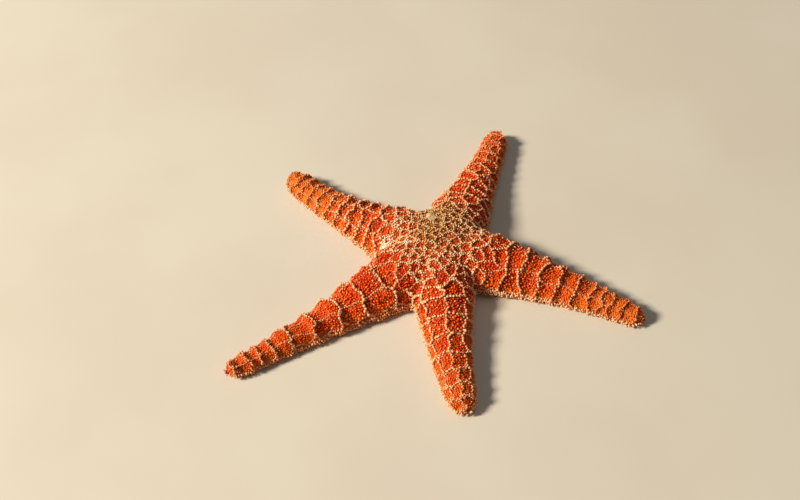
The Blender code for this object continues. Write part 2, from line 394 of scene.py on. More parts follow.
def push_root_in(copy, arm):
    """Moves the arm's cut face into the disc, so that the remesh leaves no seam."""
    index = int(ARM_START / arm.STEP)
    place, tangent = arm.place[index], arm.tangent[index]
    bpy.ops.object.mode_set(mode="EDIT")
    bpy.ops.mesh.select_all(action="DESELECT")
    bpy.ops.object.mode_set(mode="OBJECT")
    for vert in copy.data.vertices:
        ahead = (vert.co.x - place[0]) * tangent[0] + (vert.co.y - place[1]) * tangent[1]
        vert.select = bool(ahead < 1 * MM)
    bpy.ops.object.mode_set(mode="EDIT")
    bpy.ops.transform.translate(value=(-tangent[0] * ROOT_PUSH, -tangent[1] * ROOT_PUSH, 0))
    bpy.ops.object.mode_set(mode="OBJECT")


def ball_at(node, segments, ring_count, radius, sink=0):
    """A ball at the middle of a small node, or a little below it."""
    low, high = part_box(node)
    bpy.ops.mesh.primitive_uv_sphere_add(segments=segments, ring_count=ring_count, radius=radius)
    ball = bpy.context.object
    ball.data.transform(Matrix.Translation((low + high) / 2 - Vector((0, 0, sink))))
    return ball


copies = [copy_of_node(name) for name in FLESH_NODES]
for copy, arm in zip(copies[1:], ARMS):
    only(copy)
    push_root_in(copy, arm)
plugs = [ball_at(node, 16, 10, EYE_PLUG) for node in EYESPOT_NODES]
plugs.append(ball_at("madreporite", 16, 10, PLATE_PLUG, PLATE_SINK))
only(copies[0])
for extra in copies[1:] + plugs:
    extra.select_set(True)
bpy.ops.object.join()
skin = bpy.context.object
skin.name = "skin"
skin.data.name = "skin"
apply_modifier(skin, "REMESH", mode="VOXEL", voxel_size=VOXEL, use_smooth_shade=True)
apply_modifier(skin, "SMOOTH", factor=0.6, iterations=14)
print("skin:", len(skin.data.polygons), "faces")

# %% [markdown]
# The solids reach to the tips of the spines, so the bare skin lies inside them by the depth of
# the coat. The inset is deepest on the back, less on the sole, and least in the furrow.

# %% Set the skin inside the coat
COAT_BACK = 1.75 * MM
COAT_SOLE = 0.9 * MM
COAT_FURROW = 0.2 * MM
FURROW_HALF = 3.6 * MM


def read(mesh, what):
    values = np.empty(len(mesh.vertices) * 3, np.float32)
    mesh.vertices.foreach_get(what, values)
    return values.reshape(-1, 3).astype(float)


def write(mesh, places):
    mesh.vertices.foreach_set("co", np.asarray(places, np.float32).ravel())
    mesh.update()


def in_furrow(points, where):
    """1 inside the furrow under an arm or in the mouth's recess, 0 elsewhere."""
    half = np.minimum(FURROW_HALF, 0.42 * where["half"])
    near = 1 - smooth_step(0, 0.8 * MM, np.abs(where["across"]) - half)
    near = np.maximum(near, 1 - smooth_step(7 * MM, 8 * MM, where["radius"]))
    low = 1 - smooth_step(4.6 * MM, 5.6 * MM, points[:, 2])
    above = smooth_step(0.25 * MM, 0.9 * MM, points[:, 2])
    return near * low * above * (1 - smooth_step(0.92, 0.97, where["share"]))


def girth_scale(where):
    """Under 1 where an arm is thin, so that its coat is finer there."""
    return np.clip(where["half"] / (10.5 * MM), 0.78, 1.08)


def underside(where):
    """0 on the back and the flanks, rising to 1 on the underside."""
    return smooth_step(1.0, 1.35, where["flank"])


places, normals = read(skin.data, "co"), read(skin.data, "normal")
where = body_map(places)
turned_under = underside(where)
coat_depth = COAT_BACK * girth_scale(where) * (1 - turned_under) + COAT_SOLE * turned_under
furrow = in_furrow(places, where)
coat_depth = coat_depth * (1 - furrow) + COAT_FURROW * furrow
write(skin.data, places - normals * coat_depth[:, None])
apply_modifier(skin, "SMOOTH", factor=0.5, iterations=4)
print("skin set in by", (coat_depth.min() / MM).round(2), "to", (coat_depth.max() / MM).round(2), "mm")

# %% [markdown]
# The ossicles form a net whose cells are small on the disc and large on the arms, where they
# lie in rings. Each cell is grown from a seed: arms get rings of seeds, three or four round the
# back and one low on each flank, and what is left is filled with seeds that keep their distance.
# A point halfway between its two nearest seeds then lies on the net.

# %% Net sizes
# gaps: length of a ring of cells near the disc and near the tip, in millimetres
# change: where along the arm the one gives way to the other
# columns: how many cells lie side by side round the back
# jitter: how unevenly the cells lie in their ring
# rib: how far the arm swells between two rings, and ridge how far each strand stands up
# step: how much each cell slopes down towards the tip, and shade how dark the painted shade at its low end is
# pale: how pale the net is near the disc and near the tip
# lengthwise: how strong the strands are that run along the arm, next to those across it
# gold: how golden the arm turns towards its tip, and fringe how pale its fringe is, partly painted shade
NET_WORDS = "gaps change columns jitter rib ridge step shade pale lengthwise gold fringe".split()
ARM_NETS = (
    ((6.2, 5.0), 0.60, 4, 0.12, 0.60, 0.50, 0.2, 0.3, (0.75, 0.30), 0.70, 0.35, 0.60),
    ((8.8, 5.6), 0.55, 3, 0.09, 0.75, 0.35, -0.4, 0.9, (0.80, 0.15), 0.30, 0.65, 0.90),
    ((9.6, 7.0), 0.60, 4, 0.08, 0.70, 0.50, 0.3, 0.3, (0.95, 0.65), 0.85, 0.35, 1.00),
    ((12.8, 6.2), 0.64, 3, 0.07, 1.10, 0.40, 1.0, 1.0, (0.95, 0.60), 0.30, 0.30, 0.35),
    ((7.0, 5.4), 0.60, 4, 0.10, 0.80, 0.50, 0.3, 0.5, (0.95, 0.20), 0.50, 1.00, 1.00),
)
ARM_NETS = [dict(zip(NET_WORDS, numbers)) for numbers in ARM_NETS]
FIRST_RING = 30 * MM
THIN_ARM = 7.2 * MM
FLANK_TURNS = [-1.14, 1.14]
TURN_JITTER = 0.07
DISC_CELL = 3.3 * MM
FILL_CELL = 5.2 * MM
RING_ROOM = 4.6 * MM
SEED_TRIES = 12000
rng = np.random.default_rng(20)


def pick(table, chosen):
    """The chosen rows of every column in a table."""
    return {name: values[chosen] for name, values in table.items()}


def ring_gap(net, share):
    near, far = net["gaps"]
    changed = smooth_step(net["change"] - 0.08, net["change"] + 0.08, share)
    return (near + (far - near) * changed) * MM


# %% [markdown]
# Random points on a surface clump together. Thinned so that none has another too near, they are
# as even and as irregular as things that grew. The whole coat is placed in this way.

# %% Points drawn and thinned


def draw(obj, count):
    """Random points, spread evenly over an object's surface, with their normals."""
    mesh = obj.data
    mesh.calc_loop_triangles()
    corners = np.empty(len(mesh.loop_triangles) * 3, np.int32)
    mesh.loop_triangles.foreach_get("vertices", corners)
    corners = corners.reshape(-1, 3)
    places, normals = read(mesh, "co"), read(mesh, "normal")
    a, b, c = (places[corners[:, i]] for i in range(3))
    areas = np.linalg.norm(np.cross(b - a, c - a), axis=1) / 2
    print("drawing", count, "points on", round(areas.sum() / MM**2), "square mm")
    picked = corners[rng.choice(len(corners), count, p=areas / areas.sum())]
    first, second = rng.random((2, count))
    flip = first + second > 1
    first[flip], second[flip] = 1 - first[flip], 1 - second[flip]
    weights = np.stack([1 - first - second, first, second], 1)[:, :, None]
    return (places[picked] * weights).sum(1), unit((normals[picked] * weights).sum(1))


def thin(points, spacing, taken=(), room=0.0):
    """Indices of points kept in their order, with room round the taken ones and each other."""
    size = max(float(np.max(spacing)), room)
    boxes = {}
    kept = []

    def box_of(point):
        return tuple(math.floor(value / size) for value in point)

    def is_clear(point, reach):
        for box in product(*((number - 1, number, number + 1) for number in box_of(point))):
            for other, own in boxes.get(box, ()):
                if math.dist(point, other) < (own or reach):
                    return False
        return True

    for point in np.asarray(taken).tolist():
        boxes.setdefault(box_of(point), []).append((point, room))
    reaches = np.broadcast_to(spacing, len(points)).tolist()
    for index, (point, reach) in enumerate(zip(points.tolist(), reaches)):
        if is_clear(point, reach):
            boxes.setdefault(box_of(point), []).append((point, 0))
            kept.append(index)
    return np.array(kept, int)


# %% Seeds of the net


def tree_of(obj):
    """What finds the place where a ray meets an object."""
    return BVHTree.FromObject(obj, bpy.context.evaluated_depsgraph_get())


smooth_tree = tree_of(skin)


def on_skin(arm, along, turn):
    """The point of the skin at this distance along an arm and this turn round it, if any."""
    angle = math.radians(90 * turn)
    middle = arm.at(along, 0, BELLY)
    sideways = arm.at(along, 1, BELLY) - middle
    up = Vector((0, 0, arm.height(along) - BELLY))
    way = sideways * (math.sin(angle) * arm.half_width(along)) + up * math.cos(angle)
    hit, normal, _, _ = smooth_tree.ray_cast(middle + way * 1.35, -way)
    return hit if hit and normal.dot(way) > 0 else None


ring_seeds = []
for arm, net in zip(ARMS, ARM_NETS):
    along = FIRST_RING
    while along < arm.length - 2 * MM:
        gap = float(ring_gap(net, arm.share_out(along)))
        columns = net["columns"] if arm.half_width(along) > THIN_ARM else 3
        turns = [(2 * column + 1 - columns) / columns for column in range(columns)]
        slant = rng.normal(0, net["jitter"])
        for turn in turns + FLANK_TURNS:
            shift = (rng.normal(0, net["jitter"]) + slant * turn) * gap
            point = on_skin(arm, along + shift, turn + rng.normal(0, TURN_JITTER))
            if point:
                ring_seeds.append(point)
        along += gap
ring_seeds = np.array(ring_seeds)

tried, _ = draw(skin, SEED_TRIES)
where = body_map(tried)
unfilled = (where["radius"] < FIRST_RING - 2 * MM) | (where["flank"] > 1.4)
tried, where = tried[unfilled], pick(where, unfilled)
spacing = DISC_CELL + (FILL_CELL - DISC_CELL) * smooth_step(16 * MM, 34 * MM, where["radius"])
kept = thin(tried, spacing, ring_seeds, RING_ROOM)
seeds = np.vstack([ring_seeds, tried[kept]])
print("net:", len(ring_seeds), "seeds in rings and", len(kept), "between them")

# %% [markdown]
# `net_at` finds how far each point is from the net and how near to a knot of it, which cell it
# lies in, where in the cell it lies along the arm, and whether the nearest strand runs across.

# %% Distance to the net
STRAND_WAVE = 0.45 * MM
STRAND_WAVE_LENGTH = 1.1 * MM
seed_tree = KDTree(len(seeds))
for index, seed in enumerate(seeds):
    seed_tree.insert(seed, index)
seed_tree.balance()
seed_map = body_map(seeds)
seed_tone = rng.random(len(seeds))


def tangents_at(where):
    """The direction that each point's arm has beside it."""
    beside = [arm.tangent[arm.stations(where["along"])] for arm in ARMS]
    return np.choose(where["arm"][:, None], beside)


def net_at(points, where):
    wavy = points + STRAND_WAVE * np.sin(points[:, [1, 2, 0]] / STRAND_WAVE_LENGTH)
    found = np.array([[near[1:] for near in seed_tree.find_n(point, 3)] for point in wavy.tolist()])
    first, second, _ = found[:, :, 0].astype(int).T
    gaps = found[:, :, 1]
    apart = seeds[second] - seeds[first]
    length = np.linalg.norm(apart, axis=1)
    gap = np.choose(where["arm"], [ring_gap(net, where["share"]) for net in ARM_NETS])
    crossing = np.abs((apart[:, :2] * tangents_at(where)).sum(1)) / length
    ahead = np.clip((where["along"] - seed_map["along"][first]) / gap, -0.5, 0.5)
    return {
        "border": (gaps[:, 1] ** 2 - gaps[:, 0] ** 2) / (2 * length),
        "knot": bell(gaps[:, 2] - gaps[:, 0], 1.3 * MM),
        "cell": first,
        "in_ring": (first < len(ring_seeds)).astype(float),
        "crossing": crossing,
        "ahead": ahead,
        "gap": gap,
    }


def by_arm(where, name):
    """A number of each arm's net, spread over the points."""
    return np.array([net[name] for net in ARM_NETS])[where["arm"]]


def strength(where, net):
    """1 where a strand runs across its arm, and less where it runs along one."""
    lengthwise = by_arm(where, "lengthwise") + smooth_step(0.45, 0.75, net["crossing"])
    return np.maximum(np.minimum(lengthwise, 1), where["disc"])


def paleness(where, net):
    """How pale the net and its spines are."""
    near, far = by_arm(where, "pale").T
    on_arm = near + (far - near) * smooth_step(0.25, 0.95, where["share"])
    return (on_arm * (1 - where["disc"]) + where["disc"]) * (0.4 + 0.6 * strength(where, net))


# %% [markdown]
# The skin is raised along the net and sunk between. The arms also swell into ribs between
# their rings of cells, and on some each ring slopes down towards the tip.

# %% Raise the net
DISC_RIDGE = 0.34
RIDGE_WIDTH = 0.85 * MM
DISC_RIDGE_WIDTH = 0.60 * MM
RIB_WIDTH = 0.27
RIB_SINK = 0.6
STRAND_LINE = 0.62 * MM

places, normals = read(skin.data, "co"), read(skin.data, "normal")
where = body_map(places)
net = net_at(places, where)
on_arm = 1 - where["disc"]
back = 1 - underside(where)
width = RIDGE_WIDTH * on_arm + DISC_RIDGE_WIDTH * where["disc"]
strand = bell(net["border"], width)
ridge = (by_arm(where, "ridge") * on_arm + DISC_RIDGE * where["disc"]) * strength(where, net)
flatter = 1 - 0.5 * smooth_step(0.6, 1.1, where["flank"])
slope = by_arm(where, "step") * on_arm * flatter
swelling = bell(0.5 - np.abs(net["ahead"]), RIB_WIDTH) - RIB_SINK
rib = by_arm(where, "rib") * on_arm * flatter * swelling
rings = (rib - slope * (net["ahead"] + 0.12)) * net["in_ring"]
relief = (ridge * strand + rings) * back * girth_scale(where) * MM
write(skin.data, places + normals * relief[:, None])
apply_modifier(skin, "SMOOTH", factor=0.5, iterations=1)
print("net raised by up to", (relief.max() / MM).round(2), "mm")

# %% [markdown]
# Skin and coat share their colours, so both read the same marks: numbers kept on the points that
# say how low on the flank, how near the tip or how pale a place is.

# %% Marks


def store(mesh, name, values):
    """Keeps a number for each point, for the finishes to read."""
    layer = mesh.attributes.new(name, "FLOAT", "POINT")
    layer.data.foreach_set("value", np.asarray(values, np.float32))


OCHRE_MIDDLE = CENTRE + Vector((-1, 7, 0)) * MM
# distance right of and behind the disc's centre, and radius, in millimetres
FROST_SPOTS = ((-25, 0, 4.5), (-15, -4, 2.5), (-20, 9, 3))


def frost_at(points):
    """1 in the few spots where the spines are nearly white."""
    frost = np.zeros(len(points))
    for x, y, radius in FROST_SPOTS:
        away = np.hypot(points[:, 0] - CENTRE.x - x * MM, points[:, 1] - CENTRE.y - y * MM)
        frost = np.maximum(frost, 1 - smooth_step(0.5 * radius * MM, radius * MM, away))
    return frost


def marking(points, where, net):
    """The masks that the skin and the coat share."""
    tone = seed_tone[net["cell"]]
    uneven = (tone - 0.5) * 10 * MM
    ochre = 1 - smooth_step(7 * MM, 23 * MM, away_from(points, OCHRE_MIDDLE) + uneven)
    low = smooth_step(0.55, 1.0, where["flank"])
    under = smooth_step(1.15, 1.45, where["flank"])
    gold = by_arm(where, "gold")
    near_disc = 1 - smooth_step(25 * MM, 60 * MM, where["radius"])
    # Painted shade: the low end of each ring cell, on the side where the next row throws its shade, is
    # darkened, most on the arms with the most shade.
    low_end = 0.5 - net["ahead"] * np.sign(by_arm(where, "step"))
    valley = bell(low_end * net["gap"], 1.9 * MM) * net["in_ring"]
    valley = valley * by_arm(where, "shade") * (1 - where["disc"]) * (1 - under)
    return {
        "ochre": ochre,
        "low": low,
        "under": under,
        "tip": smooth_step(0.5 - 0.5 * gold, 0.95, where["share"]) * gold,
        "valley": valley,
        "pale": paleness(where, net) * (1 - under) * (1 - 0.4 * low),
        "tone": np.clip(tone + near_disc * (0.6 * gold - 0.45), 0, 1),
        "frost": frost_at(points) * (1 - under),
    }


skin_marks = marking(places, where, net)
skin_marks["strand"] = bell(net["border"], STRAND_LINE) * back
skin_marks["furrow"] = in_furrow(places, where)
for name, values in skin_marks.items():
    store(skin.data, name, values)
print("marks on the skin:", ", ".join(skin_marks))
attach(skin, "root")
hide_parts(*FLESH_NODES)

# %% [markdown]
# The flesh in the cells is a hot orange red, yellower low on the flanks and painted darker, as
# painted shade, at the low end of each ring of cells. On the disc it turns to ochre. The limy net
# shows through as a paler line. The skin's pores and the smallest gills are far finer than the mesh,
# so they are bump.

# %% Skin finish
RED = (0.42, 0.010, 0.001)
ORANGE = (0.82, 0.068, 0.002)
AMBER = (0.88, 0.215, 0.006)
OCHRE = (0.43, 0.165, 0.030)
UMBER = (0.10, 0.020, 0.005)
SHADE_CRIMSON = (0.13, 0.005, 0.003)
PEACH = (0.82, 0.33, 0.12)
CREAM = (0.94, 0.70, 0.42)
GOLD = (0.90, 0.34, 0.020)
FROST = (0.92, 0.76, 0.57)
KHAKI = (0.56, 0.365, 0.135)
SOLE_PALE = (0.74, 0.40, 0.14)


def flesh_colour(look):
    """The colour between the spines, from the masks that skin and gills share."""
    mottle = look.step(look.noise(420.0, 3.0, 0.6), 0.35, 0.68)
    tone = look.mask("tone") * 0.6 + mottle * 0.4
    colour = look.mix(tone, RED, ORANGE)
    colour = look.mix(look.mask("low") * (0.52 + tone * 0.45), colour, AMBER)
    colour = look.mix(look.mask("tip") * (0.35 + mottle * 0.45), colour, GOLD)
    disc_tone = look.mix(mottle, UMBER, OCHRE)
    colour = look.mix(look.mask("ochre") * 0.8, colour, disc_tone)
    # Painted shade: crimson at the low end of each ring cell.
    colour = look.mix(look.mask("valley") * 0.75, colour, SHADE_CRIMSON)
    return look.mix(look.mask("under"), colour, SOLE_PALE)


def living(share, radius, depth, wet, wet_roughness):
    """Shader settings for tissue that light sinks into, with a thin wet film over it."""
    return dict(
        Subsurface_Weight=share,
        Subsurface_Radius=radius,
        Subsurface_Scale=depth,
        Coat_Weight=wet,
        Coat_Roughness=wet_roughness,
    )


SHEEN_TINT = (1.0, 0.66, 0.34)
look = Finish("star skin")
line = look.mask("strand") * (0.25 + look.mask("pale") * 0.5)
skin_colour = look.mix(line, flesh_colour(look), PEACH)
gill_bump = look.step(look.cells(1500.0), 0.1, 0.7)
fine_bump = look.noise(3800.0)
look.set(
    Base_Color=skin_colour,
    Roughness=0.42 + look.noise(700.0) * 0.14,
    Normal=look.bump(gill_bump * -0.7 + fine_bump * 0.3, 0.6, 0.35 * MM),
    Specular_IOR_Level=0.3,
    Specular_Tint=SHEEN_TINT,
    **living(0.08, (1.0, 0.3, 0.12), 1.2 * MM, 0.06, 0.25),
)
skin.data.materials.clear()
skin.data.materials.append(look.material)

# %% [markdown]
# The coat is thousands of small things, so each kind is modelled once, in millimetres, by
# drawing a circle up ring by ring. Its mesh is then kept as two arrays, and `plant` sets copies
# of it at their roots. A few dozen faces each are enough, since no one is larger than a rice
# grain.

# %% Models of the small things


def drawn_up(sides, rings, flat_end=False):
    """Points and triangles of a closed form through rings of (radius, height) in millimetres."""
    (radius, low), *above = rings
    bpy.ops.object.select_all(action="DESELECT")
    bpy.ops.mesh.primitive_circle_add(vertices=sides, radius=radius, fill_type="NGON", location=(0, 0, low))
    bpy.ops.object.mode_set(mode="EDIT")
    for next_radius, high in above:
        bpy.ops.mesh.extrude_region_move(TRANSFORM_OT_translate={"value": (0, 0, high - low)})
        bpy.ops.transform.resize(value=(next_radius / radius, next_radius / radius, 1))
        radius, low = next_radius, high
    if not flat_end:
        bpy.ops.mesh.merge(type="CENTER")
    bpy.ops.mesh.select_all(action="SELECT")
    bpy.ops.mesh.quads_convert_to_tris()
    bpy.ops.mesh.normals_make_consistent(inside=False)
    bpy.ops.object.mode_set(mode="OBJECT")
    bpy.ops.object.transform_apply()
    model = bpy.context.object
    points = read(model.data, "co")
    triangles = np.array([polygon.vertices[:] for polygon in model.data.polygons])
    bpy.data.objects.remove(model)
    return points, triangles


SPINE_HEIGHT = 1.22
SPINE = drawn_up(7, [(0.36, -0.3), (0.33, 0.35), (0.52, 0.74), (0.46, 1.05), (0.20, SPINE_HEIGHT)])
GILL = drawn_up(6, [(0.36, -0.2), (0.50, 0.28), (0.43, 0.54), (0.22, 0.74)])
GRAIN = drawn_up(5, [(0.42, -0.2), (0.46, 0.35), (0.22, 0.72)])
FRINGE_SPINE = drawn_up(6, [(0.30, -0.3), (0.26, 0.7), (0.36, 1.4), (0.36, 1.85), (0.2, 2.1)])
FURROW_SPINE = drawn_up(6, [(0.24, -0.3), (0.20, 1.0), (0.22, 2.0), (0.12, 2.45)])
FOOT_HEIGHT = 3.8
FOOT = drawn_up(
    6, [(0.42, -0.5), (0.34, 1.2), (0.38, 2.6), (0.30, 3.3), (0.72, 3.62), (0.66, FOOT_HEIGHT)], flat_end=True
)
for name, model in (("spine", SPINE), ("gill", GILL), ("tube foot", FOOT)):
    print(name, "has", len(model[1]), "triangles")

# %% [markdown]
# `plant` builds one mesh from many copies, and flattens what would reach below the floor. Every
# copy also gets a patch on the map that bakes the colours: the patch lies where its root lies on
# the unrolled skin, with the tip at the middle and the foot round the edge. An arm unrolls to a
# strip; the disc lies flat, back and sole side by side.

# %% Planting
PATCH_RADIUS = 0.0015
DISC_MAP_RADIUS = 0.22
REGION_NAMES = FLESH_NODES[1:] + FLESH_NODES[:1]


def bake_place(region, where, roots):
    """Where each root lies on the unrolled skin of an arm or the disc."""
    if region < ARM_COUNT:
        length = ARMS[region].length + 4 * MM
        along = 0.02 + 0.96 * np.clip((where["along"] - ARM_START) / (length - ARM_START), 0, 1)
        return np.stack([along, 0.01 + 0.98 * (where["turn"] + 2) / 4], 1)
    spread = (roots[:, :2] - np.array(CENTRE[:2])) / ARM_START * DISC_MAP_RADIUS
    middle = np.where(where["flank"] < 1.2, 0.27, 0.73)
    return spread + np.stack([middle, np.full(len(roots), 0.5)], 1)


def plant(name, region, model, finish, roots, axes, widths, heights, marks, where):
    """One piece with a copy of the model at each root, standing along its axis."""
    points, triangles = model
    count, size = len(roots), len(points)
    lean = np.where(np.abs(axes[:, 2:]) > 0.9, (1.0, 0, 0), (0, 0, 1.0))
    side = unit(np.cross(axes, lean))
    front = np.cross(axes, side)
    spin = rng.random(count)[:, None] * 2 * math.pi
    side, front = side * np.cos(spin) + front * np.sin(spin), front * np.cos(spin) - side * np.sin(spin)
    widths, heights = widths[:, None, None] * MM, heights[:, None, None] * MM
    bodies = (side[:, None] * points[:, 0, None] + front[:, None] * points[:, 1, None]) * widths
    bodies += axes[:, None] * points[:, 2, None] * heights + roots[:, None]
    bodies[:, :, 2] = np.maximum(bodies[:, :, 2], 0)
    corners = triangles[None] + (np.arange(count) * size)[:, None, None]
    mesh = bpy.data.meshes.new(name)
    mesh.from_pydata(bodies.reshape(-1, 3), [], corners.reshape(-1, 3).tolist())
    mesh.shade_smooth()
    rise = np.clip(points[:, 2] / points[:, 2].max(), 0, 1)
    store(mesh, "rise", np.tile(rise, count))
    for mark, values in marks.items():
        store(mesh, mark, np.repeat(values, size))
    compass = np.arctan2(points[:, 1], points[:, 0])
    petal = np.stack([np.cos(compass), np.sin(compass)], 1) * (1 - 0.92 * rise)[:, None] * PATCH_RADIUS
    unrolled = bake_place(region, where, roots)[:, None] + petal
    unrolled = unrolled.reshape(-1, 2)[corners.ravel()]
    mesh.uv_layers.new(name="OFBake").data.foreach_set("uv", unrolled.astype(np.float32).ravel())
    mesh.materials.append(finish.material)
    piece = bpy.data.objects.new(name, mesh)
    bpy.context.scene.collection.objects.link(piece)
    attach(piece, "root")
    return len(mesh.polygons)


# %% Planting over the whole star


def plant_all(kind, model, finish, roots, axes, widths, heights, marks, where):
    """The same things over the whole star, as one piece for the disc and each arm."""
    regions = np.where(where["along"] < ARM_START, ARM_COUNT, where["arm"])
    triangles = 0
    for region, region_name in enumerate(REGION_NAMES):
        mine = np.nonzero(regions == region)[0]
        if len(mine):
            columns = [column[mine] for column in (roots, axes, widths, heights)]
            columns += [pick(marks, mine), pick(where, mine)]
            triangles += plant(f"{kind}_{region_name}", region, model, finish, *columns)
    print(kind, len(roots), "with", triangles, "triangles")


def leaning(axes, amount):
    """Axes turned aside a little, each its own way."""
    return unit(axes + rng.normal(0, amount, axes.shape))


def sizes(places, middle, spread, low, high):
    """A random size for each place, most of them near the middle."""
    return rng.normal(middle, spread, len(places)).clip(low, high)


# %% [markdown]
# The limy spines are cream where the net is pale and coral where it is not, and always warmer
# at their foot. The gills take the colour of the flesh they grow from, with ends lightened as a
# painted highlight, and a few tiny pincers among them are pale.

# %% Spine finish
look = spine_finish = Finish("limy spine")
tone = look.mask("tone")
coral = look.mix(tone, (0.68, 0.11, 0.015), (0.84, 0.24, 0.04))
bone = look.mix(tone, PEACH, CREAM)
bone = look.mix(look.mask("ochre") * 0.7, bone, KHAKI)
top = look.mix(look.mask("pale"), coral, bone)
top = look.mix(look.mask("frost") * 0.85, top, FROST)
foot = flesh_colour(look)
side = look.mix(0.55, foot, top)
rise = look.mask("rise")
colour = look.mix(look.step(rise, 0.10, 0.45), foot, side)
look.set(
    Base_Color=look.mix(look.step(rise, 0.50, 0.82), colour, top),
    Roughness=0.50 + look.noise(900.0) * 0.15,
    Normal=look.bump(look.noise(5200.0), 0.35, 0.12 * MM),
    **living(0.08, (1.0, 0.5, 0.25), 0.6 * MM, 0.15, 0.3),
)

# %% Gill finish
look = gill_finish = Finish("soft gill")
flesh = flesh_colour(look)
warm = look.mix(look.mask("tone"), (0.80, 0.075, 0.004), (0.92, 0.22, 0.014))
end = look.mix(look.mask("ochre"), warm, (0.40, 0.165, 0.036))
# Painted highlight: each gill's end is lightened, less so where painted shade lies.
painted_highlight = look.step(look.mask("rise"), 0.3, 1.0) * 0.45
painted_highlight = painted_highlight * (1 - look.mask("valley") * 0.7)
colour = look.mix(painted_highlight, flesh, end)
colour = look.mix(look.mask("pincer") * 0.8, colour, PEACH)
look.set(
    Base_Color=colour,
    Roughness=0.30 + look.noise(800.0) * 0.12,
    Normal=look.bump(look.noise(4200.0), 0.25, 0.1 * MM),
    Specular_IOR_Level=0.35,
    Specular_Tint=SHEEN_TINT,
    **living(0.12, (1.0, 0.25, 0.1), 0.8 * MM, 0.04, 0.18),
)

# %% [markdown]
# Spines go where the net is. Many random points are tried, nearest to a strand first, and each
# is kept if no spine stands too close, so the spines end up in single rows along the strands.
# They are finer where the arm is thin and on the disc. Setting them by hand would take days.

# %% Spines on the net
STRAND_HALF = 0.40 * MM
SPINE_SPACING = 0.80 * MM
BACK_EDGE = 0.94
PLATE_ROOM = 2.55 * MM
ROOT_TRIES = 230000
plate_low, plate_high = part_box("madreporite")
plate_middle = (plate_low + plate_high) / 2
roots, axes = draw(skin, ROOT_TRIES)
where = body_map(roots)
net = net_at(roots, where)
furrow = in_furrow(roots, where)
marks = marking(roots, where, net)
flank = where["flank"]
raised_tree = tree_of(skin)


def plant_kept(kind, model, finish, axes, widths, heights, **changed):
    """Plants on the kept ones of the tried roots, with some of their marks changed."""
    kept_marks = {**pick(marks, kept), **changed}
    plant_all(kind, model, finish, roots[kept], axes, widths, heights, kept_marks, pick(where, kept))


reach = STRAND_HALF * (1 + 0.25 * where["disc"] + 1.6 * net["knot"] + 2.5 * marks["frost"])
bare = (furrow > 0.1) | (away_from(roots, plate_middle) < PLATE_ROOM)
tried = np.nonzero((net["border"] < reach) & (flank < BACK_EDGE) & ~bare)[0]
tried = tried[np.argsort(net["border"][tried])]
fineness = girth_scale(where) * (1 - 0.20 * where["disc"])
kept = tried[thin(roots[tried], SPINE_SPACING * fineness[tried])]
spine_roots = roots[kept]
size = fineness[kept] * sizes(kept, 0.94, 0.11, 0.65, 1.3)
size *= (0.74 + 0.38 * strength(where, net)[kept]) * (1 - 0.10 * where["disc"][kept])
size *= 1 + 0.16 * net["knot"][kept]
height = size * sizes(kept, 1, 0.12, 0.7, 1.3)
tone = rng.random(len(kept))
plant_kept("spines", SPINE, spine_finish, leaning(axes[kept], 0.10), size, height, tone=tone)

# %% [markdown]
# Here and there a smaller spine stands alone in a cell. Points well away from the strands are
# tried, far apart, and a third of those kept are dropped again, so that no pattern shows.

# %% Lone spines in the cells
LONE_SPACING = 2.1 * MM
CELL_EDGE = 1.12
in_cell = (flank < CELL_EDGE) & ~bare
tried = np.nonzero(in_cell & (net["border"] > 1.0 * MM))[0][:30000]
kept = tried[thin(roots[tried], LONE_SPACING, spine_roots, 1.25 * MM)]
kept = kept[rng.random(len(kept)) < 0.65]
size = fineness[kept] * sizes(kept, 0.78, 0.12, 0.5, 1.0)
pale = marks["pale"][kept] * rng.random(len(kept)) ** 0.5
tone = rng.random(len(kept))
lone_axes = leaning(axes[kept], 0.12)
plant_kept("lone_spines", SPINE, spine_finish, lone_axes, size, size * 0.95, pale=pale, tone=tone)
spine_roots = np.vstack([spine_roots, roots[kept]])

# %% [markdown]
# Along the widest line of each flank stands a fringe of longer, paler spines, which is the edge
# between back and sole. It is thinned in the same way, nearest to its two rows first.

# %% Fringe
FRINGE_TURNS = (0.94, 1.05)
FRINGE_SPACING = 0.84 * MM
off_row = np.min([np.abs(flank - turn) for turn in FRINGE_TURNS], 0)
tried = np.nonzero((off_row < 0.05) & (furrow < 0.1))[0]
tried = tried[np.argsort(off_row[tried])]
kept = tried[thin(roots[tried], FRINGE_SPACING, spine_roots, 0.7 * MM)]
fringe_axes = leaning(unit(axes[kept] * (1, 1, 0.4)), 0.12)
fringe_roots = roots[kept]
# The fringe's own colour is pale, but its paleness is set per arm: full where the fringe was lit, lower where
# it lay in shade, which is painted light and shade.
fringe_marks = dict(
    pale=by_arm(pick(where, kept), "fringe"),
    tone=0.3 + 0.6 * rng.random(len(kept)),
    under=np.ones(len(kept)),
)
width = sizes(kept, 1.1, 0.1, 0.8, 1.4)
height = sizes(kept, 0.85, 0.12, 0.5, 1.15)
plant_kept("fringe", FRINGE_SPINE, spine_finish, fringe_axes, width, height, **fringe_marks)

# %% [markdown]
# The gills fill the cells between the spines, and grains fill what the gills leave. A few of
# both are pale, as the star's tiny pincers are.

# %% Gills in the cells
GILL_SPACING = 0.94 * MM
GRAIN_SPACING = 0.55 * MM
GILL_TRIES = 110000
limy_roots = np.vstack([spine_roots, fringe_roots])
tried = np.nonzero(in_cell)[0][:GILL_TRIES]
kept = tried[thin(roots[tried], GILL_SPACING * fineness[tried], limy_roots, 0.80 * MM)]
size = fineness[kept] * sizes(kept, 1.04, 0.20, 0.6, 1.55)
height = size * sizes(kept, 1.0, 0.20, 0.5, 1.6)
tone = np.clip(marks["tone"][kept] * 0.6 + rng.random(len(kept)) * 0.4, 0, 1)
pincer = (rng.random(len(kept)) < 0.04).astype(float)
gill_roots = roots[kept]
plant_kept("gills", GILL, gill_finish, leaning(axes[kept], 0.16), size, height, tone=tone, pincer=pincer)

